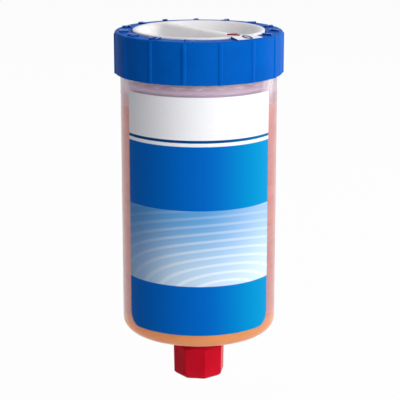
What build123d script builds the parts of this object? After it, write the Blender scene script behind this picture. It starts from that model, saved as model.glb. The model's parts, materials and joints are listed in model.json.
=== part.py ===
from build123d import *
import os
from math import atan2, degrees, radians, sin

os.makedirs("parts", exist_ok=True)

# Gas-driven single-point lubricator: a clear grease container with a screw cap on its
# outlet thread, a piston, and a drive unit with a time dial under a ribbed cover ring.
# Millimetres, +Z up towards the dial. The origin is on the axis, in the container's
# base plane, where the outlet thread starts. Angles run from -Y, the label's side, to +X.

# ---- container -------------------------------------------------------------------
container_od = 50.0
container_wall = 1.7
container_floor = 1.4
container_corner_r = 4.0
rim_step = 0.35
rim_step_drop = 0.2
thread_major_d = 13.157
thread_length = 12.5
thread_lead = 0.9
outlet_bore_d = 6.0
snap_bead_height = 0.55
snap_bead_width = 1.4
snap_bead_edge = 0.44
snap_bead_lift = 2.2

# ---- label -----------------------------------------------------------------------
label_bottom_z = 4.8
label_top_gap = 3.9
label_half_angle = 62.5
label_top_corner_r = 0.8
label_bottom_corner_r = 3.5
label_thickness = 0.13
label_pocket_depth = 0.10
label_border = 0.12

# ---- grease and piston -------------------------------------------------------------
grease_height = 74.6
piston_plate = 1.5
piston_rib_height = 0.9
piston_rib_width = 1.2
piston_rib_count = 8
piston_skirt_height = 7.7
piston_skirt_wall = 2.5
piston_seal_wire_r = 0.8
piston_seal_edge = 1.0
piston_edge = 0.5
end_gap = 2.6

# ---- drive housing -----------------------------------------------------------------
housing_floor = 1.2
housing_wall = 1.0
housing_shoulder = 2.1
housing_seal_wire_r = 0.5
flange_thickness = 1.5
well_wall = 1.85
cell_d = 11.6
battery_height = 5.4
cell_cap_d = 8.7
cell_cap_height = 0.5
cell_edge = 0.4
cell_vent_depth = 0.6
gasket_thickness = 0.5
gasket_bore_d = 5.0
cell_circle_r = 11.4
cell_collar_wall = 0.7
cell_collar_height = 1.5
vent_d = 2.0
contact_width = 4.0
contact_thickness = 0.76
contact_corner_r = 1.2
board_thickness = 1.0
chip_size = 6.0
chip_thickness = 0.9
post_circle_r = 16.3
post_r = 2.8
post_neck_r = 1.9
post_count = 4
screw_d = 1.9
screw_head_d = 3.6
screw_length = 6.0
screw_slot_length = 2.2
screw_slot_width = 0.4
screw_slot_depth = 0.5
bearing_plate_thickness = 1.8

# ---- dial --------------------------------------------------------------------------
dial_height = 7.1
dial_proud = 0.5
dial_floor = 1.2
dial_rim = 1.3
dial_edge_r = 0.4
bowl_slope = 4.5
grip_top_width = 4.0
grip_base_width = 15.0
hub_d = 7.0
hub_seal_wire_r = 0.4
spigot_d = 3.6
wiper_d = 10.0
wiper_reach = 12.0
wiper_width = 3.0
wiper_thickness = 0.5
brush_width = 1.5
brush_length = 1.0
pointer_base_r = 16.4
pointer_tip_r = 20.3
pointer_width = 3.6
pointer_thickness = 0.6
pointer_proud = 0.35
detent_depth = 0.5
detent_inset = 1.85
detent_length = 2.6
detent_leaf_thickness = 0.2
detent_leaf_angle = 50.0
bump_width = 1.2
bump_length = 2.1
notch_width = 1.4

# ---- cover ring --------------------------------------------------------------------
ring_wall = 1.5
ring_height = 13.2
ring_top_thickness = 2.9
ring_edge_r = 0.6
rib_height = 0.3
rib_width = 1.3
rib_edge = 0.24
rib_rise = 0.35
position_count = 15
numeral_count = 13
zero_angle = 38.2
numeral_size = 3.0
numeral_stroke = 0.6
numeral_pitch = 2.4
numeral_height = 0.6
tab_half_angle = 10.9
tab_thickness = 1.0
tab_proud = 0.25
tab_rise = 0.5
zero_size = 2.8
zero_stroke = 0.7
zero_height = 0.3

# ---- closure cap -------------------------------------------------------------------
cap_across_flats = 16.0
cap_end_wall = 2.8
cap_taper = 0.8
cap_collar_d = 16.8
cap_collar_height = 5.0
cap_collar_edge = 0.4
cap_bevel_inset = 0.7
cap_vertex_angle = 14.0
cap_edge = 0.8
washer_thickness = 1.2

# ---- allowances --------------------------------------------------------------------
over = 1.0  # how far a cut runs past the face it opens
root = 0.2  # how far an added feature is rooted in what carries it

# ---- clearances --------------------------------------------------------------------
fill_gap = 0.02
seal_gap = 0.03
piston_clearance = 0.08
hub_clearance = 0.05
seat_gap = 0.05
plug_clearance = 0.1
drive_gap = 1.1
skirt_gap = 0.6
ring_clearance = 0.2
dial_clearance = 0.3
dial_lift = 0.6
board_to_plate = 1.3
thread_clearance = 0.10
cap_gap = 0.3
washer_clearance = 0.35

# ---- radii and levels that follow ----------------------------------------------------
container_r = container_od / 2
bore_r = container_r - container_wall
inner_corner_r = container_corner_r - container_wall
thread_r = thread_major_d / 2
outlet_r = outlet_bore_d / 2

piston_z = container_floor + grease_height
piston_r = bore_r - piston_clearance
piston_seal_r = bore_r - seal_gap - piston_seal_wire_r
skirt_inner_r = piston_r - piston_skirt_wall
skirt_top_z = piston_z + piston_skirt_height
piston_travel = grease_height - end_gap

position_step = 360 / position_count
nose_r = skirt_inner_r - skirt_gap
plug_r = bore_r - plug_clearance
well_r = plug_r - well_wall
dial_r = well_r - seat_gap - dial_clearance
detent_inner_r = well_r - detent_inset - detent_length
detent_angle = zero_angle + position_step / 2 + 90
nose_z = piston_z + piston_plate + piston_rib_height + drive_gap
cell_floor_z = nose_z + housing_floor
cell_top_z = cell_floor_z + battery_height
board_z = cell_top_z + contact_thickness + 2 * fill_gap
board_top_z = board_z + board_thickness
plate_z = board_top_z + board_to_plate
plate_top_z = plate_z + bearing_plate_thickness
dial_z = plate_top_z + dial_lift
dial_top_z = dial_z + dial_height
ring_top_z = dial_top_z - dial_proud
ring_z = ring_top_z - ring_height
flange_top_z = ring_top_z - ring_top_thickness
container_height = flange_top_z - flange_thickness
snap_bead_z = ring_z + snap_bead_lift
rim_r = container_r - rim_step
rim_z = ring_z - rim_step_drop
label_top_z = ring_z - label_top_gap

ring_bore_r = container_r + ring_clearance
ring_body_r = ring_bore_r + ring_wall
tab_outer_r = ring_body_r - ring_edge_r
ring_eye_r = dial_r + dial_clearance
hub_r = hub_d / 2
hub_end_z = plate_z - 4 * seat_gap
cell_r = cell_d / 2
shoulder_z = board_z - housing_shoulder
housing_seal_z = board_z - housing_shoulder / 2
housing_seal_r = bore_r - seal_gap - housing_seal_wire_r
hub_seal_z = plate_z + bearing_plate_thickness / 2
hub_seal_r = hub_r + hub_clearance - seal_gap - hub_seal_wire_r
pointer_depth = pointer_thickness - pointer_proud

cap_bore_r = thread_r + thread_clearance
cap_top_z = -cap_gap
washer_z = -thread_length - seat_gap - washer_thickness
cap_floor_z = washer_z - seat_gap
cap_bottom_z = cap_floor_z - cap_end_wall
cap_grip_z = cap_top_z - cap_collar_height


def rod(radius, low_z, high_z):
    """A round bar on the axis."""
    return Pos(0, 0, (low_z + high_z) / 2) * Cylinder(radius, high_z - low_z)


def tube(outer_r, inner_r, low_z, high_z):
    """A round tube on the axis."""
    return rod(outer_r, low_z, high_z) - rod(inner_r, low_z, high_z)


def block(width, depth, low_z, high_z):
    """A box centred on the axis, depth along Y."""
    return Pos(0, 0, (low_z + high_z) / 2) * Box(width, depth, high_z - low_z)


def placed(shape, radius, angle):
    """A shape moved out to a radius at an angle counted from -Y towards +X."""
    return Rot(0, 0, angle) * Pos(0, -radius, 0) * shape


def arc_bar(outer_r, inner_r, half_angle, low_z, high_z, rise=0):
    """A piece of tube that spans an angle either side of -Y. Its inner top edge may rise."""
    corners = [(inner_r, low_z), (outer_r, low_z), (outer_r, high_z), (inner_r, high_z + rise)]
    section = Plane.XZ * make_face(Polyline(*corners, close=True))
    return Rot(0, 0, -90 - half_angle) * revolve(section, Axis.Z, 2 * half_angle)


def seal_ring(centre_r, wire_r, z):
    """An O-ring."""
    return Pos(0, 0, z) * Torus(centre_r, wire_r)


def seal_groove(outer_r, centre_r, wire_r, z):
    """The groove that an O-ring lies in, open towards outer_r."""
    half = wire_r + fill_gap
    return tube(outer_r, centre_r - half, z - half, z + half)


def cone_between(low_r, high_r, low_z, high_z):
    """A cone on the axis."""
    return Pos(0, 0, (low_z + high_z) / 2) * Cone(low_r, high_r, high_z - low_z)


def label_sheet(inner_r, outer_r, border):
    """A curved sheet with rounded corners, as the label or, with a border, its pocket."""
    half_angle = label_half_angle + degrees(border / container_r)
    low_z = label_bottom_z - border
    high_z = label_top_z + border
    middle_z = (low_z + high_z) / 2
    low_r = label_bottom_corner_r + border
    high_r = label_top_corner_r + border
    low_angle = half_angle - degrees(low_r / container_r)
    high_angle = half_angle - degrees(high_r / container_r)
    sheet = arc_bar(outer_r, inner_r, half_angle, low_z + low_r, high_z - high_r)
    sheet += arc_bar(outer_r, inner_r, low_angle, low_z, middle_z)
    sheet += arc_bar(outer_r, inner_r, high_angle, middle_z, high_z)
    corners = ((low_r, low_angle, low_z + low_r), (high_r, high_angle, high_z - high_r))
    for corner_r, side_angle, corner_z in corners:
        ring = tube(outer_r, inner_r, corner_z - corner_r - over, corner_z + corner_r + over)
        disc = Pos(0, -container_r, corner_z) * Rot(90, 0, 0) * Cylinder(corner_r, 2 * container_wall)
        for side in (-side_angle, side_angle):
            sheet += (Rot(0, 0, side) * disc) & ring
    return sheet


def container():
    """The clear container with its outlet thread, snap bead and label pocket."""
    outside = rod(container_r, 0, rim_z)
    outside = fillet(outside.edges().sort_by(Axis.Z)[0], container_corner_r)
    outside += rod(rim_r, rim_z - root, container_height)
    inside = rod(bore_r, container_floor, container_height + over)
    inside = fillet(inside.edges().sort_by(Axis.Z)[0], inner_corner_r)
    neck = rod(thread_r, -thread_length, root)
    neck = chamfer(neck.edges().sort_by(Axis.Z)[0], thread_lead)
    bead_low = snap_bead_z - snap_bead_width / 2
    bead_r = container_r + snap_bead_height
    bead = rod(bead_r, bead_low, bead_low + snap_bead_width)
    bead = chamfer(bead.edges().filter_by(GeomType.CIRCLE), snap_bead_edge)
    body = outside + neck + bead - inside
    body -= rod(outlet_r, -thread_length - over, container_floor + over)
    pocket = label_sheet(container_r - label_pocket_depth, container_r + over, label_border)
    return body - pocket


def label():
    """The printed label, let into its pocket."""
    inner_r = container_r - label_pocket_depth + fill_gap
    return label_sheet(inner_r, inner_r + label_thickness, 0)


def grease_charge():
    """The grease under the piston."""
    low_z = container_floor + fill_gap
    charge = rod(bore_r - fill_gap, low_z, piston_z - fill_gap)
    return fillet(charge.edges().sort_by(Axis.Z)[0], inner_corner_r)


def outlet_grease():
    """The grease that fills the outlet."""
    return rod(outlet_r - fill_gap, -thread_length, container_floor)


def piston_seal_z(index):
    """The height of the lower (0) or upper (1) piston seal."""
    inset = piston_seal_edge + piston_seal_wire_r
    low_z = piston_z + inset
    high_z = skirt_top_z - inset
    return low_z + index * (high_z - low_z)


def piston():
    """The follower piston: a plate with ribs and a skirt with two seal grooves."""
    body = rod(piston_r, piston_z, skirt_top_z)
    body = chamfer(body.edges().filter_by(GeomType.CIRCLE), piston_edge)
    plate_top_z = piston_z + piston_plate
    body -= rod(skirt_inner_r, plate_top_z, skirt_top_z + over)
    rib = block(piston_rib_width, skirt_inner_r, plate_top_z - root, plate_top_z + piston_rib_height)
    for index in range(piston_rib_count):
        body += placed(rib, skirt_inner_r / 2, index * 360 / piston_rib_count)
    for index in range(2):
        body -= seal_groove(bore_r, piston_seal_r, piston_seal_wire_r, piston_seal_z(index))
    return body


def piston_seal(index):
    """One piston seal."""
    return seal_ring(piston_seal_r, piston_seal_wire_r, piston_seal_z(index))


def cell_angle(index):
    """Cells stand on a square: batteries are 0 and 2, gas cells 1 and 3."""
    return 45 + 90 * index


def post_angle(index):
    """Posts stand between the cells."""
    return index * 360 / post_count


def drive_housing():
    """The plug that closes the container and carries cells, board and dial."""
    body = rod(nose_r, nose_z, board_z) + rod(plug_r, shoulder_z, flange_top_z)
    body += rod(rim_r, container_height, flange_top_z)
    body -= rod(nose_r - housing_wall, cell_floor_z, board_z + over)
    body -= rod(well_r, board_z, flange_top_z + over)
    body -= seal_groove(plug_r + over, housing_seal_r, housing_seal_wire_r, housing_seal_z)
    collar_r = cell_r + seat_gap
    collar_top_z = cell_floor_z + cell_collar_height
    collar = tube(collar_r + cell_collar_wall, collar_r, cell_floor_z - root, collar_top_z)
    post = rod(post_r, cell_floor_z - root, board_z) + rod(post_neck_r, board_z, plate_z)
    inner_wall = rod(nose_r, nose_z, flange_top_z)
    for index in range(4):
        body += placed(collar, cell_circle_r, cell_angle(index))
    for index in range(post_count):
        body += placed(post, post_circle_r, post_angle(index)) & inner_wall
        pilot = rod(screw_d / 2 + fill_gap, plate_z - screw_length, plate_z + over)
        body -= placed(pilot, post_circle_r, post_angle(index))
    for index in (1, 3):
        vent = rod(vent_d / 2, nose_z - over, cell_floor_z + over)
        body -= placed(vent, cell_circle_r, cell_angle(index))
    return body


def housing_seal():
    """The O-ring between the drive housing and the container."""
    return seal_ring(housing_seal_r, housing_seal_wire_r, housing_seal_z)


def cell(low_z):
    """A button cell: a can with a slightly narrower, shorter cap on top."""
    top_z = cell_top_z
    can = rod(cell_r, low_z, top_z - cell_cap_height)
    can = fillet(can.edges().filter_by(GeomType.CIRCLE), cell_edge)
    return can + rod(cell_cap_d / 2, top_z - cell_cap_height - root, top_z)


def battery(index):
    """One battery, flat on the housing's floor."""
    return placed(cell(cell_floor_z + fill_gap), cell_circle_r, cell_angle(2 * index))


def gas_cell(index):
    """One gas cell, on its gasket, open to the piston through the vent."""
    low_z = cell_floor_z + gasket_thickness + 2 * fill_gap
    body = cell(low_z) - rod(vent_d / 2, low_z - over, low_z + cell_vent_depth)
    return placed(body, cell_circle_r, cell_angle(2 * index + 1))


def cell_gasket(index):
    """The gasket under one gas cell."""
    low_z = cell_floor_z + fill_gap
    gasket = tube(cell_r - seat_gap, gasket_bore_d / 2, low_z, low_z + gasket_thickness)
    return placed(gasket, cell_circle_r, cell_angle(2 * index + 1))


def cell_contact(index):
    """A contact strip over one battery and the gas cell beside it."""
    half_span = cell_circle_r * sin(radians(45))
    low_z = cell_top_z + fill_gap
    strip = block(contact_width, 2 * half_span + cell_r, low_z, low_z + contact_thickness)
    strip = fillet(strip.edges().filter_by(Axis.Z), contact_corner_r)
    return Rot(0, 0, 180 * index) * Pos(half_span, 0, 0) * strip


def circuit_board():
    """The round board, cut out for the posts, with the switch tracks on top."""
    board = rod(well_r - plug_clearance, board_z, board_top_z)
    for index in range(post_count):
        hole = rod(post_neck_r + plug_clearance, board_z - over, board_top_z + over)
        board -= placed(hole, post_circle_r, post_angle(index))
    return board


def control_chip():
    """The controller under the board."""
    return block(chip_size, chip_size, board_z - chip_thickness, board_z)


def screw_head(extra):
    """A countersunk head, or with extra its seat."""
    head_r = screw_head_d / 2 + extra
    shank_r = screw_d / 2 + extra
    return cone_between(shank_r, head_r, plate_top_z - (head_r - shank_r), plate_top_z)


def bearing_plate():
    """The plate that guides the dial's hub, screwed to the posts."""
    plate = rod(well_r - plug_clearance, plate_z, plate_top_z)
    plate -= rod(hub_r + hub_clearance, plate_z - over, plate_top_z + over)
    clear_r = screw_d / 2 + seat_gap
    hole = rod(clear_r, plate_z - over, plate_top_z + over) + screw_head(seat_gap)
    for index in range(post_count):
        plate -= placed(hole, post_circle_r, post_angle(index))
    leaf_r = detent_inner_r + detent_length + seat_gap
    leaf_z = plate_top_z - detent_leaf_thickness
    recess_half = detent_leaf_angle / 2 + degrees(seat_gap / detent_inner_r)
    inner_r = detent_inner_r - seat_gap
    recess = arc_bar(leaf_r, inner_r, recess_half, leaf_z, plate_top_z + over)
    return plate - Rot(0, 0, detent_angle) * recess


def plate_screw(index):
    """One countersunk screw with a cross recess."""
    slot_z = plate_top_z - screw_slot_depth
    body = rod(screw_d / 2, plate_top_z - screw_length, slot_z) + screw_head(0)
    body -= block(screw_slot_length, screw_slot_width, slot_z, plate_top_z + over)
    body -= block(screw_slot_width, screw_slot_length, slot_z, plate_top_z + over)
    return placed(body, post_circle_r, post_angle(index))


def detent_spring():
    """The leaf whose bump clicks past the notches under the dial."""
    leaf_z = plate_top_z - detent_leaf_thickness + fill_gap
    outer_r = detent_inner_r + detent_length
    half_angle = detent_leaf_angle / 2
    leaf = arc_bar(outer_r, detent_inner_r, half_angle, leaf_z, plate_top_z)
    bump_top = dial_z - 2 * seat_gap
    bump = block(bump_width, bump_length, leaf_z, bump_top)
    top_edges = bump.edges().filter_by(Axis.Y).sort_by(Axis.Z)[-2:]
    bump = chamfer(top_edges, bump_top - plate_top_z - seat_gap)
    body = leaf + placed(bump, detent_inner_r + detent_length / 2, 0)
    return Rot(0, 0, detent_angle) * body


def time_dial():
    """The dial: a bowl with a grip bar across it, a hub below and detent notches."""
    body = rod(dial_r, dial_z, dial_top_z)
    body = fillet(body.edges().sort_by(Axis.Z)[-1], dial_edge_r)
    floor_z = dial_z + dial_floor
    mouth_r = dial_r - dial_rim
    bowl = cone_between(mouth_r - bowl_slope, mouth_r, floor_z, dial_top_z)
    bowl += rod(mouth_r, dial_top_z, dial_top_z + over)
    half_top = grip_top_width / 2
    half_base = grip_base_width / 2
    outline = Polyline(
        (-half_base, floor_z - over),
        (half_base, floor_z - over),
        (half_base, floor_z),
        (half_top, dial_top_z),
        (half_top, dial_top_z + 2 * over),
        (-half_top, dial_top_z + 2 * over),
        (-half_top, dial_top_z),
        (-half_base, floor_z),
        close=True,
    )
    grip = extrude(Plane.XZ * make_face(outline), amount=dial_r, both=True)
    scoops = bowl - grip
    body -= Rot(0, 0, zero_angle) * scoops
    body += rod(hub_r, hub_end_z, dial_z)
    body += rod(spigot_d / 2, hub_end_z - wiper_thickness - fill_gap, hub_end_z)
    body -= seal_groove(hub_r + over, hub_seal_r, hub_seal_wire_r, hub_seal_z)
    body -= Rot(0, 0, zero_angle) * pointer_outline(fill_gap, dial_top_z - pointer_depth, over)
    notch = block(notch_width, detent_length, dial_z - over, dial_z + detent_depth)
    for index in range(position_count):
        angle = zero_angle + (index + 0.5) * position_step
        body -= placed(notch, detent_inner_r + detent_length / 2, angle)
    return body


def pointer_outline(border, low_z, extra):
    """The pointer's triangle, apex outwards, as a solid from low_z to its top and extra."""
    half = pointer_width / 2 + border
    outline = Polyline(
        (-half, -pointer_base_r + border),
        (half, -pointer_base_r + border),
        (0, -pointer_tip_r - 2 * border),
        close=True,
    )
    height = dial_top_z + pointer_proud + extra - low_z
    return extrude(Pos(0, 0, low_z) * make_face(outline), amount=height)


def dial_pointer():
    """The pointer let into the end of the grip bar."""
    low_z = dial_top_z - pointer_depth + fill_gap
    return Rot(0, 0, zero_angle) * pointer_outline(0, low_z, 0)


def dial_seal():
    """The O-ring between hub and bearing plate."""
    return seal_ring(hub_seal_r, hub_seal_wire_r, hub_seal_z)


def contact_wiper():
    """The sprung contact that the dial turns over the board's tracks."""
    top_z = hub_end_z - fill_gap
    low_z = top_z - wiper_thickness
    body = rod(wiper_d / 2, low_z, top_z)
    arm = block(wiper_width, wiper_reach, low_z, top_z)
    body += placed(arm, wiper_reach / 2, 0)
    brush = block(brush_width, brush_length, board_top_z + seat_gap, top_z)
    body += placed(brush, wiper_reach - brush_length / 2, 0)
    body -= rod(spigot_d / 2 + fill_gap, low_z - over, top_z + over)
    return Rot(0, 0, zero_angle) * body


# Each figure is one or more strokes through points of a box 1 high and 0.6 wide.
loop = [(0.2, 0), (0, 0.2), (0, 0.35), (0.2, 0.55), (0.4, 0.55)]
loop += [(0.6, 0.35), (0.6, 0.2), (0.4, 0), (0.2, 0)]
figure_strokes = {
    "0": [
        [(0.2, 0), (0, 0.25), (0, 0.75), (0.2, 1), (0.4, 1)],
        [(0.4, 1), (0.6, 0.75), (0.6, 0.25), (0.4, 0), (0.2, 0)],
    ],
    "1": [[(0.1, 0.75), (0.35, 1), (0.35, 0)]],
    "2": [[(0, 0.8), (0.15, 1), (0.45, 1), (0.6, 0.8), (0.6, 0.6), (0, 0), (0.6, 0)]],
    "3": [[(0, 1), (0.6, 1), (0.3, 0.6), (0.6, 0.4), (0.6, 0.2), (0.4, 0), (0.15, 0), (0, 0.15)]],
    "4": [[(0.45, 0), (0.45, 1), (0, 0.3), (0.6, 0.3)]],
    "5": [[(0.6, 1), (0.05, 1), (0, 0.55), (0.4, 0.6), (0.6, 0.4), (0.6, 0.2), (0.4, 0), (0, 0.05)]],
    "6": [loop, [(0.5, 1), (0.2, 0.8), (0, 0.4), (0, 0.3)]],
    "7": [[(0, 1), (0.6, 1), (0.2, 0)]],
    "8": [
        loop,
        [(0.2, 0.55), (0.05, 0.7), (0.05, 0.85), (0.2, 1)],
        [(0.2, 1), (0.4, 1), (0.55, 0.85), (0.55, 0.7), (0.4, 0.55)],
    ],
    "9": [[(x, 1 - y) for x, y in loop], [(0.1, 0), (0.4, 0.2), (0.6, 0.6), (0.6, 0.7)]],
    "-": [[(0.3, 0.2), (0.3, 0.8)]],
}


def stroke(start, end, width):
    """A round-ended bar between two points."""
    run = Vector(*end) - Vector(*start)
    middle = (Vector(*start) + Vector(*end)) / 2
    bar = SlotCenterToCenter(run.length, width)
    return Pos(middle.X, middle.Y) * Rot(0, 0, degrees(atan2(run.Y, run.X))) * bar


def figure(character, size, width):
    """One figure, centred, in the XY plane."""
    strokes = []
    for points in figure_strokes[character]:
        sized = [((x - 0.3) * size, (y - 0.5) * size) for x, y in points]
        strokes += [stroke(start, end, width) for start, end in zip(sized, sized[1:])]
    return Sketch() + strokes


def numeral(text, low_z, high_z, size=numeral_size, width=numeral_stroke):
    """A raised numeral on the ring's top, its head outwards."""
    body = Part()
    for place, character in enumerate(text):
        shift = (place - (len(text) - 1) / 2) * numeral_pitch
        sketch = Pos(shift, 0, low_z) * figure(character, size, width)
        body += extrude(sketch, amount=high_z - low_z)
    centre_r = (ring_eye_r + ring_body_r - ring_edge_r) / 2
    return placed(Rot(0, 0, 180) * body, centre_r, 0)


def cover_ring():
    """The ribbed ring that snaps over the container's rim and holds the drive unit."""
    body = rod(ring_body_r, ring_z, ring_top_z)
    body = fillet(body.edges().sort_by(Axis.Z)[-1], ring_edge_r)
    rib_top_z = ring_top_z - ring_edge_r + rib_rise
    rib = block(rib_width, 2 * rib_height, ring_z, rib_top_z)
    rib = chamfer(rib.edges().filter_by(Axis.X).sort_by(Axis.Y)[:2], rib_edge)
    for index in range(position_count):
        angle = zero_angle + index * position_step
        body += placed(rib, ring_body_r, angle)
    body -= rod(ring_eye_r, ring_z - over, ring_top_z + over)
    body -= rod(ring_bore_r, ring_z - over, flange_top_z)
    groove_half = snap_bead_width / 2 + 2 * seat_gap
    groove_r = container_r + snap_bead_height + 2 * seat_gap
    body -= rod(groove_r, snap_bead_z - groove_half, snap_bead_z + groove_half)
    marks = [str(index) for index in range(1, numeral_count)] + ["-"]
    for index, mark in enumerate(marks, start=1):
        raised = numeral(mark, ring_top_z - root, ring_top_z + numeral_height)
        body += Rot(0, 0, zero_angle + index * position_step) * raised
    tab_z = ring_top_z + tab_proud - tab_thickness
    recess_half = tab_half_angle + degrees(seat_gap / ring_eye_r)
    recess = arc_bar(tab_outer_r + seat_gap, ring_eye_r - over, recess_half, tab_z, ring_top_z + over)
    return body - Rot(0, 0, zero_angle) * recess


def zero_index_plate():
    """The white plate at the zero position, rising towards the dial."""
    high_z = ring_top_z + tab_proud
    low_z = high_z - tab_thickness + fill_gap
    plate = arc_bar(tab_outer_r, ring_eye_r, tab_half_angle, low_z, high_z, tab_rise)
    return Rot(0, 0, zero_angle) * plate


def zero_numeral():
    """The raised zero that stands on its plate."""
    low_z = ring_top_z + tab_proud
    high_z = low_z + tab_rise + zero_height
    under = arc_bar(tab_outer_r, ring_eye_r, tab_half_angle, low_z - over, low_z, tab_rise)
    cover = arc_bar(tab_outer_r, ring_eye_r, tab_half_angle, low_z - over, low_z + zero_height, tab_rise)
    body = numeral("0", low_z - root, high_z, zero_size, zero_stroke)
    return Rot(0, 0, zero_angle) * ((body & cover) - under)


def closure_cap():
    """The screw cap over the outlet: an octagonal grip, bevelled at the top, below a round collar."""
    flat_r = cap_across_flats / 2
    outline = RegularPolygon(flat_r, 8, major_radius=False)
    outline = Rot(0, 0, cap_vertex_angle - 90) * outline
    grip = extrude(Pos(0, 0, cap_grip_z) * outline, amount=cap_bottom_z - cap_grip_z, taper=cap_taper)
    grip = chamfer(grip.faces().sort_by(Axis.Z)[0].edges(), cap_edge)
    blank_r = flat_r + over
    bevel_r = flat_r - cap_bevel_inset
    blank_z = cap_grip_z - (blank_r - bevel_r)
    blank = rod(blank_r, cap_bottom_z - over, blank_z)
    blank += cone_between(blank_r, bevel_r, blank_z, cap_grip_z)
    collar = rod(cap_collar_d / 2, cap_grip_z, cap_top_z)
    collar = fillet(collar.edges().filter_by(GeomType.CIRCLE), cap_collar_edge)
    bore = rod(cap_bore_r, cap_floor_z, cap_top_z + over)
    return (grip & blank) + collar - bore


def cap_seal_washer():
    """The sealing disc in the bottom of the cap."""
    return rod(cap_bore_r - washer_clearance, washer_z, washer_z + washer_thickness)


single_pieces = {
    "container": container,
    "label": label,
    "grease_charge": grease_charge,
    "outlet_grease": outlet_grease,
    "piston": piston,
    "drive_housing": drive_housing,
    "housing_seal": housing_seal,
    "circuit_board": circuit_board,
    "control_chip": control_chip,
    "bearing_plate": bearing_plate,
    "detent_spring": detent_spring,
    "time_dial": time_dial,
    "dial_pointer": dial_pointer,
    "dial_seal": dial_seal,
    "contact_wiper": contact_wiper,
    "cover_ring": cover_ring,
    "zero_index_plate": zero_index_plate,
    "zero_numeral": zero_numeral,
    "closure_cap": closure_cap,
    "cap_seal_washer": cap_seal_washer,
}
repeated_pieces = {
    "piston_seal": (piston_seal, 2),
    "battery": (battery, 2),
    "gas_cell": (gas_cell, 2),
    "cell_gasket": (cell_gasket, 2),
    "cell_contact": (cell_contact, 2),
    "plate_screw": (plate_screw, post_count),
}

for name, make in single_pieces.items():
    export_step(make(), f"parts/{name}.step")
for name, (make, count) in repeated_pieces.items():
    for index in range(count):
        export_step(make(index), f"parts/{name}_{index + 1}.step")

print("grease, ml:", round(grease_charge().volume / 1000, 1))
print("piston travel:", round(piston_travel, 3))
print("ring bottom, ring top, dial top:", ring_z, ring_top_z, dial_top_z)
print("cap bottom:", cap_bottom_z)
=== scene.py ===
import json
import math

import bpy
import numpy as np
from mathutils import Matrix, Vector


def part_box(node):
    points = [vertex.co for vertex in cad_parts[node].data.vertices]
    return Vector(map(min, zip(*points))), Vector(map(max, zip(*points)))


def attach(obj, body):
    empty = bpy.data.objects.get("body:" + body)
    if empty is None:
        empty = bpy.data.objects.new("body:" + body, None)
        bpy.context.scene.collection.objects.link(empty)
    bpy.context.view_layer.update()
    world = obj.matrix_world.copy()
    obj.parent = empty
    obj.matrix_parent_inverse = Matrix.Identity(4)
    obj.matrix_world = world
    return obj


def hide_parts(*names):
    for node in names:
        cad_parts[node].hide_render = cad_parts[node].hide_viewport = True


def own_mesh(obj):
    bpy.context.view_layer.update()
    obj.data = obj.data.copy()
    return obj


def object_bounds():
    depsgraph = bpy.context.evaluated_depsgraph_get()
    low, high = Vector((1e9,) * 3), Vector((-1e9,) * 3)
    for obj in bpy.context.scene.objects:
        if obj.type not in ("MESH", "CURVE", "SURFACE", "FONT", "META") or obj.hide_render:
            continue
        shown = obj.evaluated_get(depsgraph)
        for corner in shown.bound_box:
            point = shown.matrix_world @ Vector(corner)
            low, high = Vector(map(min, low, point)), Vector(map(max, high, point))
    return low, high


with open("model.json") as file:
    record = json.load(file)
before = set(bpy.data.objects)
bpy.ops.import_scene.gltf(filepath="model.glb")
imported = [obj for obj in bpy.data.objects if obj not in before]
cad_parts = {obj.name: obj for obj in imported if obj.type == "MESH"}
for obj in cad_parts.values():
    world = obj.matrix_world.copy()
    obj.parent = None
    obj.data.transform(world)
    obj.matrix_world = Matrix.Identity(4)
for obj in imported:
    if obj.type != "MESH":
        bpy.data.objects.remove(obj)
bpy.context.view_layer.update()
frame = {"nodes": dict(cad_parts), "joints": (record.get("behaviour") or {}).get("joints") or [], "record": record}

# Millimetres here, metres in Blender. Angles run from -Y, the label's side, towards +X.
MM = 0.001
TURN = 2 * math.pi


def levels(node):
    """A CAD node's lowest and highest z and its reach in x, in mm."""
    low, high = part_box(node)
    return low.z / MM, high.z / MM, high.x / MM


def slide_travel(joint):
    """How far a sliding joint goes, in metres."""
    return [j for j in frame["joints"] if j["name"] == joint][0]["range_m"][1]


# ---- sizes and places, from the frame ----------------------------------------------
clamp = [m for m in frame["record"]["mounts"] if m["name"] == "clamp_band"][0]
container_r = clamp["dims"]["r_mm"]
outlet_low, container_top, _ = levels("container")
ring_low, _, _ = levels("cover_ring")
_, dial_top, dial_r = levels("time_dial")
grease_low, grease_top, _ = levels("grease_charge")
_, piston_top, _ = levels("piston")
label_low, label_top, _ = levels("label")
label_r = -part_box("label")[0].y / MM
cap_low, cap_top, _ = levels("closure_cap")
plate_low, plate_high, _ = levels("bearing_plate")
seal_low, seal_high, _ = levels("dial_seal")

# ---- sizes and places that the frame doesn't give ----------------------------------
zero_angle = math.radians(38.2)  # the zero plate's, and the first rib's
mark_count = 15  # the ring's ribs, and the places of the dial
mark_degrees = 360 / mark_count
ring_r = 26.7  # between the ribs
bead_z = ring_low + 2.2  # the container's snap bead and the ring's groove for it
wall, corner_r = 1.7, 4.0  # the container's wall, and the rounding of its base
bore_r = container_r - wall
bore_floor_z = grease_low - 0.02
outlet_r = 3.0
thread_pitch = 25.4 / 19
thread_row = thread_pitch / 12  # the mesh's steps along a thread
crest_r, root_r = 13.157 / 2, 5.75
label_trim = 0.035  # the angle that the label ends short of its solid on each side
label_half_angle = math.asin(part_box("label")[1].x / MM / label_r) - label_trim
dial_seal_z = (seal_low + seal_high) / 2
dial_low_z = plate_high + 0.6
hub_low = plate_low - 0.2
base_low, base_high = 3 * MM, 9 * MM  # below these heights the base is painted warmer and its grease lighter, a painted glow of light shining through the base, fading out between them
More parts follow.
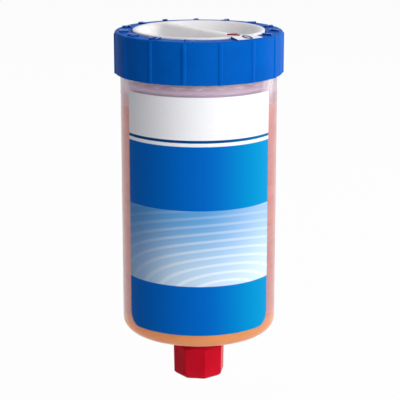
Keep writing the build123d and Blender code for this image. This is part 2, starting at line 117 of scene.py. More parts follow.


# ---- mesh helpers ----------------------------------------------------------------
def mesh_object(name, points, faces, material, sharp=38.0):
    """A smooth-shaded mesh from points in mm."""
    mesh = bpy.data.meshes.new(name)
    mesh.from_pydata((np.asarray(points, float) * MM).tolist(), [], faces)
    mesh.update()
    mesh.shade_smooth()
    mesh.set_sharp_from_angle(angle=math.radians(sharp))
    mesh.materials.append(material)
    piece = bpy.data.objects.new(name, mesh)
    bpy.context.scene.collection.objects.link(piece)
    return piece


def rounded(corners, closed=False, steps=6):
    """A profile of (radius, z) from corners of (radius, z, fillet)."""
    points = []
    count = len(corners)
    for index, (r, z, fillet) in enumerate(corners):
        if fillet <= 0 or (not closed and index in (0, count - 1)):
            points.append((r, z))
            continue
        here = np.array([r, z], float)
        before = np.array(corners[index - 1][:2], float) - here
        after = np.array(corners[(index + 1) % count][:2], float) - here
        before /= np.linalg.norm(before)
        after /= np.linalg.norm(after)
        half = math.acos(float(np.clip(before @ after, -1, 1))) / 2
        middle = (before + after) / np.linalg.norm(before + after)
        centre = here + middle * fillet / math.sin(half)
        start = here + before * fillet / math.tan(half) - centre
        end = here + after * fillet / math.tan(half) - centre
        sweep = math.pi - 2 * half
        for step in range(steps + 1):
            t = step / steps
            mixed = math.sin((1 - t) * sweep) * start + math.sin(t * sweep) * end
            points.append(tuple(centre + mixed / math.sin(sweep)))
    return points


def turned(name, rows, material, angles=192, closed=False, shape=None, sharp=38.0):
    """A mesh turned round Z from (radius, z) rows, at a number of angles or at those given.
    shape(radii, heights, angles) may bend what the rows make."""
    if isinstance(angles, int):
        angles = np.arange(angles) * TURN / angles
    count = len(angles)
    rows = np.array(rows, float)
    radii = np.repeat(rows[:, :1], count, axis=1)
    heights = np.repeat(rows[:, 1:2], count, axis=1)
    if shape:
        radii, heights = shape(radii, heights, angles)
    points, starts = [], []
    for row, (radius, height) in enumerate(zip(radii, heights)):
        starts.append(len(points))
        if rows[row, 0] == 0:
            points.append((0, 0, height[0]))
        else:
            x, y = radius * np.sin(angles), -radius * np.cos(angles)
            points.extend(zip(x, y, height))
    pairs = list(zip(range(len(rows) - 1), range(1, len(rows))))
    if closed:
        pairs.append((len(rows) - 1, 0))
    faces = []
    for low, high in pairs:
        a, b = starts[low], starts[high]
        for j in range(count):
            k = (j + 1) % count
            if rows[low, 0] == 0:
                faces.append((a, b + k, b + j))
            elif rows[high, 0] == 0:
                faces.append((a + j, a + k, b))
            else:
                faces.append((a + j, a + k, b + k, b + j))
    return mesh_object(name, points, faces, material, sharp)


def ease(value, low, high):
    """0 below low, 1 above high, smooth between."""
    t = np.clip((value - low) / (high - low), 0, 1)
    return t * t * (3 - 2 * t)


def screw_wave(heights, angles, shift=0.0):
    """A right-hand thread's form, 0 in the root and 1 on the crest."""
    land = 0.12  # the flat share of the root, and of the crest
    phase = (heights / thread_pitch - angles / TURN + shift) % 1.0
    return np.clip((1 - np.abs(2 * phase - 1) - land) / (1 - 2 * land), 0, 1)


# ---- material helpers ------------------------------------------------------------
def linear(red, green, blue):
    """A colour from its 0 to 255 screen values."""
    def one(value):
        value /= 255
        return value / 12.92 if value <= 0.04045 else ((value + 0.055) / 1.055) ** 2.4
    return (one(red), one(green), one(blue), 1.0)


class Look:
    """A Principled material that is given its patterns one node at a time."""

    def __init__(self, name, **sockets):
        self.material = bpy.data.materials.new(name)
        self.material.use_nodes = True
        self.tree = self.material.node_tree
        self.shader = self.tree.nodes["Principled BSDF"]
        self.place = self.add("ShaderNodeTexCoord").outputs["Object"]
        for socket, value in sockets.items():
            self.shader.inputs[socket.replace("_", " ")].default_value = value

    def add(self, kind, **properties):
        node = self.tree.nodes.new(kind)
        for key, value in properties.items():
            setattr(node, key, value)
        return node

    def link(self, source, target):
        self.tree.links.new(source, target)

    def put(self, socket, source):
        """Feeds one of the shader's sockets."""
        self.link(source, self.shader.inputs[socket])

    def math(self, operation, first, second=0.0):
        node = self.add("ShaderNodeMath", operation=operation)
        for index, value in enumerate((first, second)):
            if isinstance(value, (int, float)):
                node.inputs[index].default_value = value
            else:
                self.link(value, node.inputs[index])
        return node.outputs[0]

    def noise(self, scale, detail=3.0, rough=0.5, stretch=(1, 1, 1)):
        """Noise of about scale features to a metre, stretched along the axes."""
        mapping = self.add("ShaderNodeMapping")
        mapping.inputs["Scale"].default_value = stretch
        self.link(self.place, mapping.inputs["Vector"])
        node = self.add("ShaderNodeTexNoise")
        node.inputs["Scale"].default_value = scale
        node.inputs["Detail"].default_value = detail
        node.inputs["Roughness"].default_value = rough
        self.link(mapping.outputs["Vector"], node.inputs["Vector"])
        return node.outputs[0]

    def ranged(self, value, from_low, from_high, to_low, to_high, smooth=False):
        """A value carried from one range to another, and held at its ends."""
        node = self.add("ShaderNodeMapRange", clamp=True)
        node.interpolation_type = "SMOOTHSTEP" if smooth else "LINEAR"
        self.link(value, node.inputs["Value"])
        sizes = (from_low, from_high, to_low, to_high)
        names = ("From Min", "From Max", "To Min", "To Max")
        for key, size in zip(names, sizes):
            node.inputs[key].default_value = size
        return node.outputs["Result"]

    def mix(self, factor, first, second):
        """The first colour at a factor of 0, the second at 1."""
        node = self.add("ShaderNodeMix", data_type="RGBA")
        for index, value in ((0, factor), (6, first), (7, second)):
            if isinstance(value, (tuple, list, int, float)):
                node.inputs[index].default_value = value
            else:
                self.link(value, node.inputs[index])
        return node.outputs[2]

    def split(self, vector):
        """The x, y and z of a vector."""
        parts = self.add("ShaderNodeSeparateXYZ")
        self.link(vector, parts.inputs[0])
        return parts.outputs

    def coordinates(self):
        """The angle from the label's middle, then the height and the radius in metres."""
        x, y, z = self.split(self.place)
        angle = self.math("ARCTAN2", x, self.math("MULTIPLY", y, -1.0))
        square = self.math("ADD", self.math("MULTIPLY", x, x), self.math("MULTIPLY", y, y))
        return angle, z, self.math("SQRT", square)

    def bump(self, height, distance):
        """Relief whose height of 1 stands distance mm."""
        node = self.add("ShaderNodeBump")
        node.inputs["Strength"].default_value = 1.0
        node.inputs["Distance"].default_value = distance * MM
        self.link(height, node.inputs["Height"])
        self.put("Normal", node.outputs["Normal"])


def moulded(name, dark, light, roughness, relief=0.012, **sockets):
    """Moulded plastic: faint cloudy colour, handling marks and a fine grained skin."""
    sockets.setdefault("Specular_IOR_Level", 0.1)
    look = Look(name, **sockets)
    cloud = look.noise(90.0, 4.0, 0.6)
    look.put("Base Color", look.mix(look.ranged(cloud, 0.3, 0.7, 0, 1), dark, light))
    marks = look.noise(420.0, 5.0, 0.65, (1, 1, 0.4))
    look.put("Roughness", look.ranged(marks, 0.35, 0.7, roughness - 0.05, roughness + 0.09))
    skin = look.noise(2600.0, 3.0, 0.6)
    look.bump(skin, relief)
    return look


def metal(name, colour, tarnish, roughness):
    """Stamped metal with fine drawn scratches and a little tarnish."""
    look = Look(name, Metallic=1.0)
    stain = look.noise(260.0, 5.0, 0.6)
    look.put("Base Color", look.mix(look.ranged(stain, 0.4, 0.75, 0, 1), colour, tarnish))
    drawn = look.noise(900.0, 3.0, 0.6, (1, 1, 12))
    look.put("Roughness", look.ranged(drawn, 0.3, 0.7, roughness - 0.08, roughness + 0.12))
    look.bump(drawn, 0.01)
    return look


# ---- materials -------------------------------------------------------------------
ring_blue = moulded(
    "ring_blue", linear(0, 86, 176), linear(0, 94, 190), 0.42, Specular_IOR_Level=0.015
)
dial_white = moulded("dial_white", linear(236, 234, 234), linear(245, 243, 243), 0.3)
cap_red = moulded(
    "cap_red", linear(190, 14, 36), linear(204, 24, 46), 0.24, 0.006, Specular_IOR_Level=0.02
)
pointer_red = moulded("pointer_red", linear(138, 6, 30), linear(160, 12, 38), 0.3, 0.006)
index_ink = moulded("index_ink", linear(10, 36, 92), linear(18, 46, 106), 0.42, 0.004)
seal_pale = moulded("seal_pale", linear(236, 214, 234), linear(242, 222, 240), 0.5)
housing_grey = moulded("housing_grey", linear(196, 184, 190), linear(208, 198, 204), 0.45)
seal_black = moulded("seal_black", linear(22, 22, 24), linear(34, 34, 36), 0.6, 0.02)
chip_black = moulded("chip_black", linear(20, 20, 22), linear(30, 30, 32), 0.5, 0.01)
cell_steel = metal("cell_steel", linear(196, 198, 200), linear(160, 160, 158), 0.3)
screw_steel = metal("screw_steel", linear(188, 190, 194), linear(140, 138, 134), 0.36)
contact_brass = metal("contact_brass", linear(212, 176, 96), linear(170, 126, 62), 0.32)


def stamped(name, side, dark, light, **sockets):
    """A raised form of one colour whose top has another: printed white on the zero plate, a painted highlight on
    the ring's figures.
    """
    look = Look(name, **sockets)
    normal_z = look.split(look.add("ShaderNodeTexCoord").outputs["Normal"])[2]
    # the top's colour: print on the zero plate, a painted highlight on the ring's figures
    top = look.ranged(normal_z, 0.6, 0.8, 0, 1)
    top_grain = look.noise(1500.0, 4.0, 0.6)
    look.put("Base Color", look.mix(top, side, look.mix(top_grain, dark, light)))
    look.put("Roughness", look.ranged(top_grain, 0.3, 0.7, 0.26, 0.4))
    look.bump(top_grain, 0.004)
    return look


def piston_look():
    """The pale piston, with painted shade in scallops along its top edge, under the ring."""
    scallops, scallop_depth = 22, 0.9
    line_high, line_low, line_end = piston_top - 0.7, piston_top - 1.1, piston_top - 1.3
    look = Look("piston_pale", Specular_IOR_Level=0.1)
    angle, height, _ = look.coordinates()
    z = look.math("DIVIDE", height, MM)
    arc = look.math("ABSOLUTE", look.math("SINE", look.math("MULTIPLY", angle, scallops / 2)))
    edge = look.math("SUBTRACT", z, look.math("MULTIPLY", arc, scallop_depth))
    # painted shade: a darker scalloped band just below the top edge, where the ring shades it
    ring_shade = look.ranged(edge, line_low, line_high, 0.85, 0)
    ring_shade = look.math("MULTIPLY", ring_shade, look.ranged(z, line_end, line_low, 0, 1))
    cloud = look.ranged(look.noise(90.0, 4.0, 0.6), 0.3, 0.7, 0, 1)
    pale = look.mix(cloud, linear(230, 214, 234), linear(238, 224, 242))
    look.put("Base Color", look.mix(ring_shade, pale, linear(204, 138, 142)))
    look.put("Roughness", look.ranged(look.noise(420.0, 5.0, 0.65), 0.35, 0.7, 0.35, 0.49))
    look.bump(look.noise(2600.0), 0.012)
    return look


def board_look():
    """Green laminate: round copper tracks under the mask, its gloss broken by the weave."""
    tracks_a_metre = 900.0
    look = Look("board_green", Coat_Weight=0.4)
    _, _, radius = look.coordinates()
    track = look.math("PINGPONG", look.math("MULTIPLY", radius, tracks_a_metre), 1.0)
    weave = look.noise(2400.0, 2.0, 0.5)
    mask = look.ranged(track, 0.62, 0.7, 0, 1)
    look.put("Base Color", look.mix(mask, linear(18, 92, 58), linear(58, 140, 84)))
    look.put("Roughness", look.ranged(weave, 0.3, 0.7, 0.32, 0.5))
    look.bump(mask, 0.04)
    return look


def container_look():
    """Clear, slightly pink plastic with faint flow marks and scuffs."""
    piston_band_low, piston_band_high = 79 * MM, 81 * MM
    look = Look("container_clear", IOR=1.49, Transmission_Weight=0.8)
    z = look.split(look.place)[2]
    # a view at a slant has more plastic in its way
    slant = look.ranged(look.add("ShaderNodeLayerWeight").outputs["Facing"], 0.15, 0.55, 0, 1)
    wall_tint = look.mix(slant, linear(254, 228, 212), linear(208, 172, 198))
    band = look.ranged(z, piston_band_low, piston_band_high, 0, 1)
    wall_tint = look.mix(band, wall_tint, linear(244, 230, 242))
    # painted light: the clear base is painted warmer, a painted glow of light shining through it
    base = look.ranged(z, base_low, base_high, 1, 0, smooth=True)
    look.put("Base Color", look.mix(base, wall_tint, linear(255, 208, 148)))
    scuff = look.noise(300.0, 6.0, 0.7, (1, 1, 0.25))
    # all below 0.27, because denoising leaves dark specks on a clear wall that crosses it
    look.put("Roughness", look.ranged(scuff, 0.35, 0.75, 0.18, 0.265))
    flow = look.noise(160.0, 2.0, 0.5, (1, 1, 0.15))
    look.bump(flow, 0.05)
    return look


def grease_look():
    """Orange grease pressed against the wall: smeared streaks and paler, aerated swirls."""
    look = Look("grease_orange", IOR=1.47, Subsurface_Weight=0.25, Subsurface_Scale=0.002)
    look.shader.inputs["Subsurface Radius"].default_value = (1.0, 0.45, 0.2)
    smear = look.noise(120.0, 6.0, 0.62, (1, 1, 3.2))
    swirl = look.noise(45.0, 3.0, 0.5, (1, 1, 1.6))
    streaks = look.ranged(smear, 0.32, 0.68, 0, 1)
    body = look.mix(streaks, linear(239, 150, 90), linear(251, 169, 107))
    body = look.mix(look.ranged(swirl, 0.52, 0.72, 0, 0.35), body, linear(248, 180, 134))
    # painted light: the grease is painted lighter and more orange at the base, a painted glow of light shining
    # through it
    base = look.ranged(look.split(look.place)[2], base_low, base_high, 1, 0, smooth=True)
    look.put("Base Color", look.mix(base, body, linear(255, 176, 84)))
    look.put("Roughness", look.ranged(smear, 0.3, 0.7, 0.22, 0.42))
    look.bump(smear, 0.25)
    return look


def label_look():
    """A varnished label: white head, thin stripes, a blue field and a pale panel of ripples, with painted light
    that makes it lighter towards its right and darker at its left.
    """
    panel_low, panel_high = 21.0, 45.5
    field_high, stripe_low, stripe_high = 65.8, 66.9, 67.8
    ripple_along, ripple_z, ripple_squash = 9.0, 17.0, 2.1
    blur = 0.05
    look = Look("label_print", Specular_IOR_Level=0.02)
    angle, height, _ = look.coordinates()
    z = look.math("DIVIDE", height, MM)
    along = look.math("MULTIPLY", angle, label_r)

    def above(level):
        return look.ranged(z, level - blur, level + blur, 0, 1)

    paper = look.noise(3000.0, 4.0, 0.6)
    speckle = look.ranged(paper, 0.3, 0.7, 0, 1)
    white = look.mix(speckle, linear(240, 241, 244), linear(250, 250, 251))
    # painted light: the blue field and the deep stripe are painted lighter towards the right, the lamps' side
    across = look.ranged(along, 0.0, 23.0, 0, 1, smooth=True)
    blue = look.mix(across, linear(0, 98, 190), linear(0, 142, 198))
    deep = look.mix(across, linear(0, 66, 124), linear(0, 100, 160))

    ripple_x = look.math("SUBTRACT", along, ripple_along)
    ripple_y = look.math("MULTIPLY", look.math("SUBTRACT", z, ripple_z), ripple_squash)
    x_square = look.math("MULTIPLY", ripple_x, ripple_x)
    y_square = look.math("MULTIPLY", ripple_y, ripple_y)
    distance = look.math("SQRT", look.math("ADD", x_square, y_square))
    wave = look.math("SINE", look.math("MULTIPLY", distance, 1.15))
    crest = look.ranged(wave, 0.1, 1.0, 0, 1, smooth=True)
    fade = look.ranged(distance, 6.0, 62.0, 0.75, 0.1)
    height_share = look.ranged(z, 20.0, 46.0, 0, 1, smooth=True)
    sky = look.mix(height_share, linear(196, 222, 242), linear(92, 158, 214))
    panel = look.mix(look.math("MULTIPLY", crest, fade), sky, linear(236, 245, 252))
    # painted light on the panel's right side, painted shade on its left side
    lit_side = look.ranged(along, 0.0, 24.0, 0, 0.3, smooth=True)
    panel = look.mix(lit_side, panel, linear(232, 242, 250))
    dark_side = look.ranged(along, -24.0, -6.0, 0.5, 0, smooth=True)
    panel = look.mix(dark_side, panel, linear(70, 120, 182))

    colour = look.mix(above(panel_low), blue, panel)
    colour = look.mix(above(panel_high), colour, blue)
    colour = look.mix(above(field_high), colour, white)
    colour = look.mix(above(stripe_low), colour, deep)
    colour = look.mix(above(stripe_high), colour, white)
    look.put("Base Color", colour)
    look.put("Roughness", look.ranged(look.noise(700.0, 4.0, 0.6), 0.3, 0.7, 0.3, 0.42))
    look.bump(paper, 0.006)
    return look


stamped_white = linear(232, 238, 248), linear(248, 250, 253)
# the ring figures' lighter tops are a painted highlight, and their darker sides are painted shade
figure_highlight_blue = linear(84, 158, 236), linear(104, 174, 246)
index_white = stamped(
    "index_white", linear(0, 80, 176), *stamped_white, Specular_IOR_Level=0.1
)
figure_blue = stamped(
    "figure_blue", linear(0, 56, 142), *figure_highlight_blue, Specular_IOR_Level=0.3
)
piston_pale = piston_look()
board_green = board_look()
container_clear = container_look()
grease_orange = grease_look()
label_print = label_look()

# ---- CAD nodes that stay, with their looks -----------------------------------------
kept = {
    "zero_index_plate": index_white,
    "dial_pointer": pointer_red,
    "piston": piston_pale,
    "piston_seal_1": seal_pale,
    "piston_seal_2": seal_pale,
    "drive_housing": housing_grey,
    "housing_seal": seal_black,
    "battery_1": cell_steel,
    "battery_2": cell_steel,
    "gas_cell_1": cell_steel,
    "gas_cell_2": cell_steel,
    "cell_gasket_1": seal_black,
    "cell_gasket_2": seal_black,
    "cell_contact_1": contact_brass,
    "cell_contact_2": contact_brass,
    "circuit_board": board_green,
    "control_chip": chip_black,
    "bearing_plate": housing_grey,
    "detent_spring": contact_brass,
    "dial_seal": seal_black,
    "contact_wiper": contact_brass,
    "outlet_grease": grease_orange,
    "cap_seal_washer": seal_black,
}
for index in range(1, 5):
    kept[f"plate_screw_{index}"] = screw_steel
for node, look in kept.items():
    for material_slot in frame["nodes"][node].material_slots:
        material_slot.material = look.material


# ---- container -------------------------------------------------------------------
def container_piece():
    """The clear container, its thread cut on the neck."""
    rim_r, rim_step_z = container_r - 0.35, ring_low - 0.2
    bead_r, bead_foot, bead_crest = container_r + 0.55, 0.7, 0.25
    neck = [(root_r, z) for z in np.arange(outlet_low + 0.8, -0.35, thread_row)]
    lower = rounded([
        (outlet_r, outlet_low, 0.3),
        (root_r, outlet_low, 0.5),
        (root_r, outlet_low + 0.7, 0),
    ])
    upper = rounded([
        (root_r, -0.3, 0),
        (root_r, 0, 0.2),
        (container_r, 0, corner_r),
        (container_r, rim_step_z, 0.12),
        (rim_r, rim_step_z, 0.12),
        (rim_r, bead_z - bead_foot, 0.15),
        (bead_r, bead_z - bead_crest, 0.25),
        (bead_r, bead_z + bead_crest, 0.25),
        (rim_r, bead_z + bead_foot, 0.15),
        (rim_r, container_top, 0.4),
        (bore_r, container_top, 0.3),
        (bore_r, bore_floor_z, corner_r - wall),
        (outlet_r, bore_floor_z, 0.5),
        (outlet_r, outlet_low + 0.4, 0),
    ], steps=10)
    rows = lower + neck + upper
    first, last = len(lower), len(lower) + len(neck)

    def shape(radii, heights, angles):
        z = heights[first:last]
        depth = ease(z, outlet_low + 0.6, outlet_low + 1.6) * (1 - ease(z, -1.5, -0.6))
        radii[first:last] += (crest_r - root_r) * screw_wave(z, angles) * depth
        return radii, heights

    piece = turned(
        "container_body", rows, container_clear.material, 240, closed=True, shape=shape
    )
    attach(piece, "container_unit")
    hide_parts("container")


def grease_piece():
    """The grease charge, on a mesh of its own."""
    skin = 1.1  # clear plastic outside the foot; less than the wall, whose lens widens the grease
    fill_r = bore_r + 0.03  # just into the wall: wetted plastic shows no air film
    foot_r, foot_top = container_r - skin, 4.3
    shoulder_z = grease_top - 0.3
    foot = rounded([(0, skin, 0), (foot_r, skin, corner_r - skin), (foot_r, foot_top, 0)], steps=10)
    body = [(fill_r, z) for z in np.linspace(8.0, shoulder_z, 28)]
    top = rounded([(fill_r, shoulder_z, 0), (fill_r, grease_top, 0.25), (0, grease_top, 0)])
    piece = turned("grease_fill", foot + body + top[1:], grease_orange.material, 192)
    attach(piece, "container_unit")
    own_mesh(piece)
    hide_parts("grease_charge")


# ---- label -----------------------------------------------------------------------
def label_piece():
    """The label's curved sheet with rounded corners, lying on the wall."""
    low_corner, top_corner = 4.5, 0.8
    columns, rows = 180, 40
    crowding = 0.72  # how much closer the columns stand at the two ends
    inner_r = container_r + 0.004
    spread = np.sin(np.linspace(-math.pi / 2, math.pi / 2, columns))
    spread = crowding * spread + (1 - crowding) * np.linspace(-1, 1, columns)
    points = []
    for radius in (label_r, inner_r):
        for share in spread:
            angle = share * label_half_angle
            edge = (label_half_angle - abs(angle)) * container_r
            cuts = []
            for corner in (low_corner, top_corner):
                into = corner - min(corner, edge)
                cuts.append(corner - math.sqrt(max(corner * corner - into * into, 0)))
            for z in np.linspace(label_low + cuts[0], label_top - cuts[1], rows):
                points.append((radius * math.sin(angle), -radius * math.cos(angle), z))
    faces = []
    back = columns * rows
    for i in range(columns - 1):
        for j in range(rows - 1):
            a, b = i * rows + j, (i + 1) * rows + j
            faces.append((a, b, b + 1, a + 1))
            faces.append((back + a, back + a + 1, back + b + 1, back + b))
        low, high = i * rows, i * rows + rows - 1
        faces.append((low, back + low, back + low + rows, low + rows))
        faces.append((high, high + rows, back + high + rows, back + high))
    for j in range(rows - 1):
        a, b = j, (columns - 1) * rows + j
        faces.append((a, a + 1, back + a + 1, back + a))
        faces.append((b, back + b, back + b + 1, b + 1))
    piece = mesh_object("label_sheet", points, faces, label_print.material)
    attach(piece, "container_unit")
    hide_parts("label")


# ---- dial ------------------------------------------------------------------------
def dial_piece():
    """The dial's dished face with its grip bar, above its rim, underside and hub."""
    bowl_r, lip_r, rim_inner_r = dial_r - 6.6, dial_r - 1.05, dial_r - 1.0
    bowl_depth = dial_top - (dial_low_z + 1.2)
    bar_half, bar_slope_end = 1.0, 8.4
    hub_r, nose_r, nose_z = 3.5, 1.8, hub_low - 0.52
    groove_r, groove_low, groove_high = 2.7, dial_seal_z - 0.42, dial_seal_z + 0.42
    outside = rounded([
        (0, nose_z, 0),
        (nose_r, nose_z, 0.15),
        (nose_r, hub_low, 0),
        (hub_r, hub_low, 0.2),
        (hub_r, groove_low, 0),
        (groove_r, groove_low, 0),
        (groove_r, groove_high, 0),
        (hub_r, groove_high, 0),
        (hub_r, dial_low_z, 0.1),
        (dial_r, dial_low_z, 0.3),
        (dial_r, dial_top, 0.4),
        (rim_inner_r, dial_top, 0),
    ])
    rows = outside + [(radius, dial_top) for radius in np.linspace(lip_r, 0, 76)]
    first = len(outside)

    def shape(radii, heights, angles):
        r = radii[first:]
        bowl = 1 - ease(r, bowl_r, lip_r)
        across = np.abs(r * np.sin(angles - zero_angle))
        bar = ease(across, bar_half, bar_slope_end)
        heights[first:] = dial_top - bowl_depth * bowl * bar
        return radii, heights

    piece = turned("dial_face", rows, dial_white.material, 480, shape=shape, sharp=50)
    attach(piece, "dial")
    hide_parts("time_dial")


# ---- closure cap -----------------------------------------------------------------
def cap_piece():
    """The screw cap: a bevelled octagonal grip under a round collar, threaded inside."""
    flats, flat_r, first_flat = 8, 8.0, 14.0
    collar_r, collar_height = 8.4, 5.0
    bore, thread_depth = 6.68, 0.82
    bevel, end_bevel = 0.7, 0.8
    edge_power = 130  # a higher one makes sharper edges between the flats
    washer_low, washer_high, _ = levels("cap_seal_washer")
    seat_z = washer_low - 0.05
    grip_z = cap_top - collar_height
    taper = math.tan(math.radians(0.8))
    end_flat = flat_r - taper * (grip_z - cap_low)
    outer = rounded([
        (0, cap_low, 0),
        (end_flat - end_bevel, cap_low, 0.25),
        (end_flat, cap_low + end_bevel, 0.3),
        (flat_r, grip_z - bevel, 0),
        (flat_r, grip_z - bevel + 0.01, 0),
        (flat_r - bevel, grip_z, 0.08),
        (collar_r, grip_z, 0.3),
        (collar_r, cap_top, 0.4),
        (bore, cap_top, 0.3),
        (bore, cap_top - 0.8, 0),
    ])
    octagonal = [row for row, (_, z) in enumerate(outer) if z < grip_z - bevel + 0.1]
    thread = [(bore, z) for z in np.arange(cap_top - 0.9, washer_high + 0.3, -thread_row)]
    inner = [(bore, washer_high + 0.2), (bore, seat_z), (outlet_r, seat_z), (0, seat_z)]
    rows = outer + thread + inner
    first, last = len(outer), len(outer) + len(thread)
    facing = math.radians(first_flat + 180 / flats)

    def shape(radii, heights, angles):
        total = np.zeros_like(angles)
        for side in range(flats):
            turn = np.cos(angles - facing - side * TURN / flats)
            total += np.clip(turn, 0, 1) ** edge_power
        octagon = total ** (-1 / edge_power)
        for row in octagonal:
            radii[row] = radii[row] * octagon
        for row in octagonal[-2:]:  # the bevel dips at the corners
            heights[row] -= flat_r * (octagon - 1)
        z = heights[first:last]
        run_in = 1 - ease(z, cap_top - 2.0, cap_top - 1.0)
        depth = run_in * ease(z, washer_high + 0.3, washer_high + 1.2)
        radii[first:last] -= thread_depth * screw_wave(z, angles, 0.5) * depth
        return radii, heights

    piece = turned("cap_body", rows, cap_red.material, 256, shape=shape, sharp=30)
    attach(piece, "screw_cap")
    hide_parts("closure_cap")


# ---- cover ring ------------------------------------------------------------------
def ring_piece():
    """The cover ring with its softly moulded ribs and the recess of the zero plate."""
    top_z = dial_top - 0.5
    shelf_z = top_z - 2.9
    inside_r, groove_r = container_r + 0.2, container_r + 0.65
    eye_r, recess_r = dial_r + 0.3, 26.13
    index_low, _, _ = levels("zero_index_plate")
    recess_z = index_low - 0.02
    recess_half = math.radians(10.9) + 0.002
    rib_height, rib_half, rib_foot = 0.3, 0.25, 0.9
    rows = rounded([
        (inside_r, ring_low, 0.2),
        (ring_r, ring_low, 0.3),
        (ring_r, top_z, 0.55),
        (recess_r + 0.005, top_z, 0),
        (recess_r - 0.005, top_z, 0),
        (eye_r + 0.7, top_z, 0),
        (eye_r, top_z, 0.25),
        (eye_r, shelf_z, 0.1),
        (inside_r, shelf_z, 0.2),
        (inside_r, bead_z + 0.8, 0),
        (groove_r, bead_z + 0.7, 0),
        (groove_r, bead_z - 0.7, 0),
        (inside_r, bead_z - 0.8, 0),
    ], closed=True, steps=8)
    rim = [row for row, (r, z) in enumerate(rows) if r > ring_r - 0.4 and z > ring_low + 1]
    side = [(ring_r, z) for z in np.linspace(ring_low + 0.9, top_z - 0.9, 14)]
    rows = rows[: rim[0]] + side + rows[rim[0] :]
    over_rib = np.linspace(-3, 3, 25)
    between = np.linspace(3, mark_degrees - 3, 13)[1:-1]
    angles = [
        zero_angle + math.radians(mark_degrees * rib + step)
        for rib in range(mark_count)
        for step in (*over_rib, *between)
    ]
    for way in (-1, 1):
        angles += [zero_angle + way * (recess_half + extra) for extra in (-0.002, 0.002)]
    angles = np.array(sorted(angle % TURN for angle in angles))

    def shape(radii, heights, angles):
        step = math.radians(mark_degrees)
        offset = (angles - zero_angle + step / 2) % step - step / 2
        rib = 1 - ease(np.abs(offset) * ring_r, rib_half, rib_foot)
        below_top = 1 - ease(heights, top_z - 0.6, top_z - 0.1)
        outside = ease(radii, ring_r - 0.55, ring_r - 0.02) * below_top
        radii = radii + rib_height * outside * rib
        turn = (angles - zero_angle + math.pi) % TURN - math.pi
        in_recess = (np.abs(turn) < recess_half)[None, :] & (radii < recess_r)
        heights = np.where(in_recess & (heights > recess_z), recess_z, heights)
        return radii, heights

    piece = turned(
        "ring_body", rows, ring_blue.material, angles, closed=True, shape=shape, sharp=40
    )
    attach(piece, "container_unit")
    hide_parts("cover_ring")


def figure(mark, size, angle, z, height, bevel, slope=0.0):
    """A raised mark on the ring's top, its head to the rim: its points in mm and its faces."""
    middle_r = 23.7
    text = bpy.data.curves.new("figure", "FONT")
    text.body = mark
    text.size = size
    text.align_x, text.align_y = "CENTER", "CENTER"
    text.extrude = height - bevel
    text.bevel_depth = bevel
    text.resolution_u = 4
    text.offset = -bevel  # the bevel would thicken the strokes
    text.space_character = 1.05
    shown = bpy.data.objects.new("figure", text)
    mesh = bpy.data.meshes.new_from_object(shown)
    turn = Matrix.Rotation(angle + math.pi, 3, "Z")
    outward = Vector((math.sin(angle), -math.cos(angle), 0))
    points = []
    for vertex in mesh.vertices:
        rise = -slope * vertex.co.y
        place = turn @ vertex.co + outward * middle_r
        points.append((place.x, place.y, place.z + z + rise))
    faces = [tuple(face.vertices) for face in mesh.polygons]
    bpy.data.meshes.remove(mesh)
    bpy.data.objects.remove(shown)
    bpy.data.curves.remove(text)
    return points, faces


def ring_figures():
    """The raised figures of the months on the ring's top, with a bar after the last."""
    bar = "I"
    sizes = {month: 4.6 if month < 10 else 4.2 for month in range(1, 13)}
    marks = [(str(month), size) for month, size in sizes.items()] + [(bar, 2.6)]
    points, faces = [], []
    for index, (mark, size) in enumerate(marks, start=1):
        angle = zero_angle + math.radians(mark_degrees * index)
        mark_points, mark_faces = figure(mark, size, angle, dial_top - 0.25, 0.34, 0.1)
        start = len(points)
        points += mark_points
        faces += [tuple(start + corner for corner in face) for face in mark_faces]
    piece = mesh_object("ring_figures", points, faces, figure_blue.material)
    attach(piece, "container_unit")


def zero_figure():
    """The raised zero on the sloping zero plate."""
    _, index_top, _ = levels("zero_index_plate")
    points, faces = figure("0", 5.8, zero_angle, index_top - 0.25, 0.15, 0.02, slope=0.104)
    piece = mesh_object("zero_figure", points, faces, index_ink.material)
    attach(piece, "container_unit")
    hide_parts("zero_numeral")


container_piece()
grease_piece()
label_piece()
dial_piece()
cap_piece()
ring_piece()
ring_figures()
zero_figure()


# ---- floor, light and camera -------------------------------------------------------
def show_white(tree, lit, white, output, share=1.0):
    """Camera, glossy and transmission rays meet that share of white, other light only lit."""
    path = tree.nodes.new("ShaderNodeLightPath")
    rays = path.outputs["Is Camera Ray"]
    for name in ("Is Glossy Ray", "Is Transmission Ray"):
        most = tree.nodes.new("ShaderNodeMath")
        most.operation = "MAXIMUM"
        tree.links.new(rays, most.inputs[0])
        tree.links.new(path.outputs[name], most.inputs[1])
        rays = most.outputs[0]
    part = tree.nodes.new("ShaderNodeMath")
    part.operation = "MULTIPLY"
    part.inputs[1].default_value = share
    tree.links.new(rays, part.inputs[0])
    mixed = tree.nodes.new("ShaderNodeMixShader")
    tree.links.new(part.outputs[0], mixed.inputs[0])
    tree.links.new(lit.outputs[0], mixed.inputs[1])
    tree.links.new(white.outputs[0], mixed.inputs[2])
    tree.links.new(mixed.outputs[0], output.inputs["Surface"])


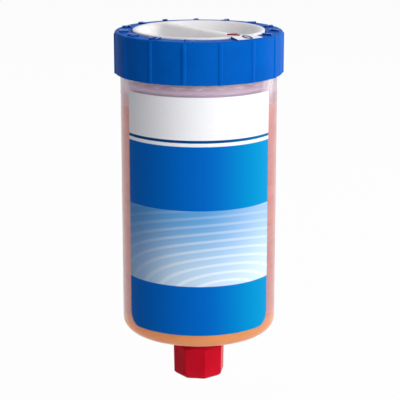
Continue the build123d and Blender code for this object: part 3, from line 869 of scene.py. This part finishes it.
def pale_floor():
    """A pale floor, clear of the cap at the end of its travel."""
    half, clearance = 3.0, 0.0005
    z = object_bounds()[0].z - slide_travel("cap_travel") - clearance
    mesh = bpy.data.meshes.new("floor")
    corners = [(-half, -half, z), (half, -half, z), (half, half, z), (-half, half, z)]
    mesh.from_pydata(corners, [], [(0, 1, 2, 3)])
    floor = bpy.data.objects.new("floor", mesh)
    bpy.context.scene.collection.objects.link(floor)
    material = bpy.data.materials.new("floor_pale")
    material.use_nodes = True
    tree = material.node_tree
    shader = tree.nodes["Principled BSDF"]
    shader.inputs["Base Color"].default_value = (0.86, 0.86, 0.87, 1)
    shader.inputs["Roughness"].default_value = 0.9
    shader.inputs["Specular IOR Level"].default_value = 0.1
    glow = tree.nodes.new("ShaderNodeEmission")
    glow.inputs["Color"].default_value = (1, 1, 1, 1)
    show_white(tree, shader, glow, tree.nodes["Material Output"], share=0.96)
    mesh.materials.append(material)


def studio_world():
    """A dim, cool surround that the camera sees as white."""
    world = bpy.context.scene.world or bpy.data.worlds.new("studio")
    bpy.context.scene.world = world
    world.use_nodes = True
    tree = world.node_tree
    tree.nodes.clear()
    ambient = tree.nodes.new("ShaderNodeBackground")
    ambient.inputs["Color"].default_value = (0.9, 0.89, 1, 1)
    ambient.inputs["Strength"].default_value = 0.15
    white = tree.nodes.new("ShaderNodeBackground")
    white.inputs["Color"].default_value = (1, 1, 1, 1)
    white.inputs["Strength"].default_value = 1.0
    output = tree.nodes.new("ShaderNodeOutputWorld")
    show_white(tree, ambient, white, output)


def lamp(name, place, width, height, power):
    """A soft rectangular lamp aimed at the object's middle, its place in metres."""
    data = bpy.data.lights.new(name, "AREA")
    data.shape = "RECTANGLE"
    data.size, data.size_y = width, height
    data.energy = power
    light = bpy.data.objects.new(name, data)
    light.location = place
    aim = Vector((0, 0, 0.045)) - Vector(place)
    light.rotation_euler = aim.to_track_quat("-Z", "Y").to_euler()
    bpy.context.scene.collection.objects.link(light)


def add_camera():
    """The camera, in front of the label and looking down at it by 14.5 degrees."""
    x = 0.00038
    place, look_at = Vector((x, -0.4623, 0.1623)), Vector((x, 0, 0.0427))
    data = bpy.data.cameras.new("camera")
    data.lens = 131.8
    data.sensor_width = 36.0
    data.clip_start = 0.01
    data.clip_end = 20.0
    camera = bpy.data.objects.new("camera", data)
    camera.location = place
    camera.rotation_euler = (look_at - place).to_track_quat("-Z", "Y").to_euler()
    bpy.context.scene.collection.objects.link(camera)
    bpy.context.scene.camera = camera


pale_floor()
studio_world()
lamp("key_right", (0.62, -0.5, 0.3), 0.5, 0.6, 4.4)
lamp("rim_right", (0.6, 0.35, 0.15), 0.4, 0.7, 2.8)
lamp("front_fill", (0.28, -0.9, 0.25), 0.6, 0.5, 2.3)
lamp("top_soft", (0.05, 0.15, 0.75), 0.6, 0.6, 2.2)
add_camera()
bpy.context.scene.view_settings.view_transform = "Standard"
